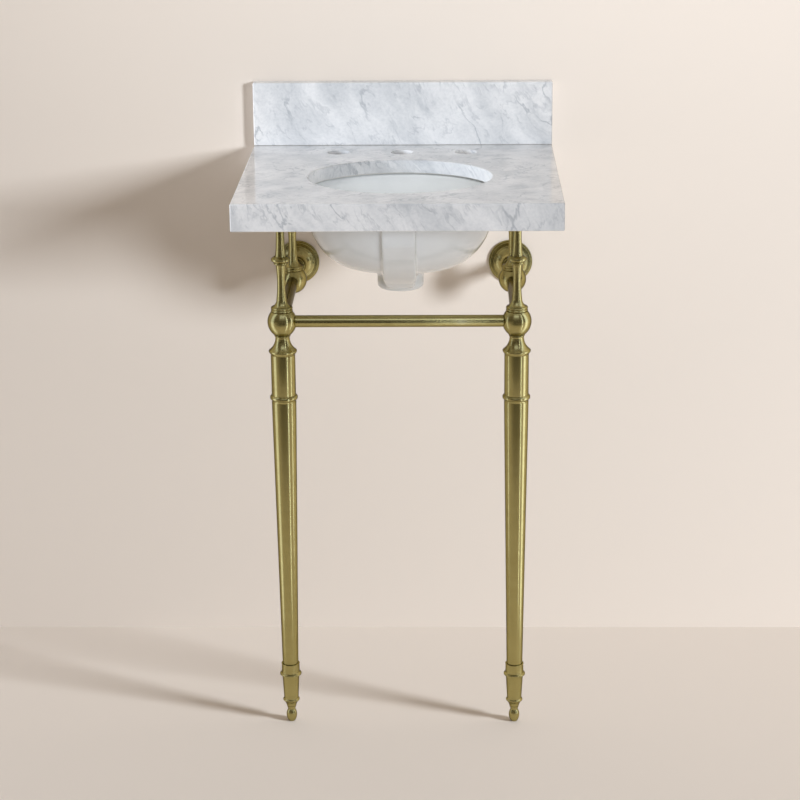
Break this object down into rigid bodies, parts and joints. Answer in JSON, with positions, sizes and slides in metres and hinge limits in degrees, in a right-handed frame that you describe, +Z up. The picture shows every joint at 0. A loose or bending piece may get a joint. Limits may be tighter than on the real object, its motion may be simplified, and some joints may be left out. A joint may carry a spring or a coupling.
{
  "type": "console sink with legs",
  "caption": "Marble console washstand with an undermount oval basin, carried on a turned brass frame with front legs, rails and rosettes that fasten to the wall.",
  "frame": {"origin": "on the floor under the middle of the width and depth", "axes": "+Z up, the front faces -Y, the wall is at +Y, +X to the right seen from the front"},
  "size_m": [0.4826, 0.457, 0.955],
  "materials": {
    "marble": "polished, with soft grey veins",
    "porcelain": "gloss white glaze",
    "satin_brass": "satin, brushed round the turning",
    "plated_steel": "zinc plated",
    "silicone": "matte"
  },
  "bodies": {
    "console": {"backsplash": "marble", "backsplash_bed": "silicone", "basin": "porcelain", "basin_clip_nuts": "plated_steel", "basin_clip_studs": "plated_steel", "basin_clips": "plated_steel", "basin_seal": "silicone", "countertop_slab": "marble", "edge_strip_front": "marble", "edge_strip_left": "marble", "edge_strip_right": "marble", "ferrules": "satin_brass", "flange_pads": "silicone", "front_hubs": "satin_brass", "front_posts": "satin_brass", "front_rail": "satin_brass", "leg_necks": "satin_brass", "leg_rings": "satin_brass", "leg_tie_rods": "plated_steel", "post_flanges": "satin_brass", "post_studs": "plated_steel", "rail_plugs": "plated_steel", "rear_hubs": "satin_brass", "rear_posts": "satin_brass", "rosettes": "satin_brass", "side_rail_left": "satin_brass", "side_rail_right": "satin_brass", "tapered_tube_left": "satin_brass", "tapered_tube_right": "satin_brass", "upper_tube_left": "satin_brass", "upper_tube_right": "satin_brass", "wall_plates": "plated_steel", "wall_spigot_left": "satin_brass", "wall_spigot_right": "satin_brass"},
    "foot_left": {"foot_left": "satin_brass"},
    "foot_right": {"foot_right": "satin_brass"}
  },
  "joints": [
    {"name": "foot_left_level", "type": "slide", "parent": "console", "child": "foot_left", "axis": [0, 0, -1], "range_m": [0, 0.012]},
    {"name": "foot_right_level", "type": "slide", "parent": "console", "child": "foot_right", "axis": [0, 0, -1], "range_m": [0, 0.012]}
  ]
}
